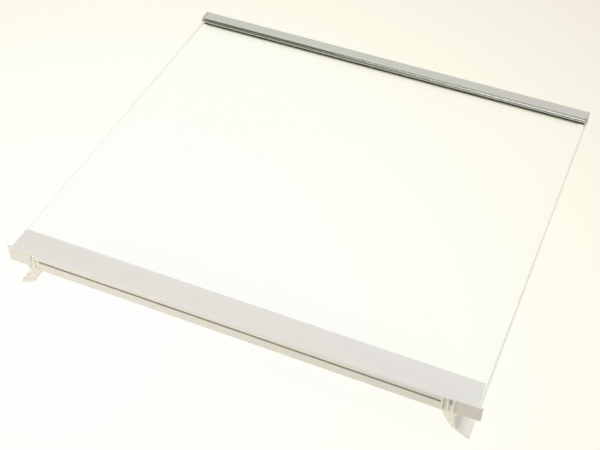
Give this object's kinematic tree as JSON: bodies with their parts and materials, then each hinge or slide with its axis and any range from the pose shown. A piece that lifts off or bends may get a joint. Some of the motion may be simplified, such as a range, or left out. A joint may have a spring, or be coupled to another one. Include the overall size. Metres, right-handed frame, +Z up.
{
  "type": "refrigerator glass shelf",
  "caption": "Flat glass refrigerator shelf with an aluminium trim along the front edge and a white moulded rear trim that carries hook legs under its ends.",
  "frame": {"origin": "centre of the glass plate's top face", "axes": "+X to the right and +Y to the back as seen from the open refrigerator door, +Z up"},
  "size_m": [0.445, 0.4034, 0.0524],
  "materials": {
    "glass": "clear, with a ground edge",
    "front_trim": "satin anodised",
    "end_cap": "satin",
    "rear_trim": "semi-gloss moulded"
  },
  "bodies": {
    "root": {"glass_plate": "glass", "front_trim": "front_trim", "end_cap_left": "end_cap", "end_cap_right": "end_cap", "rear_trim": "rear_trim"}
  },
  "joints": []
}
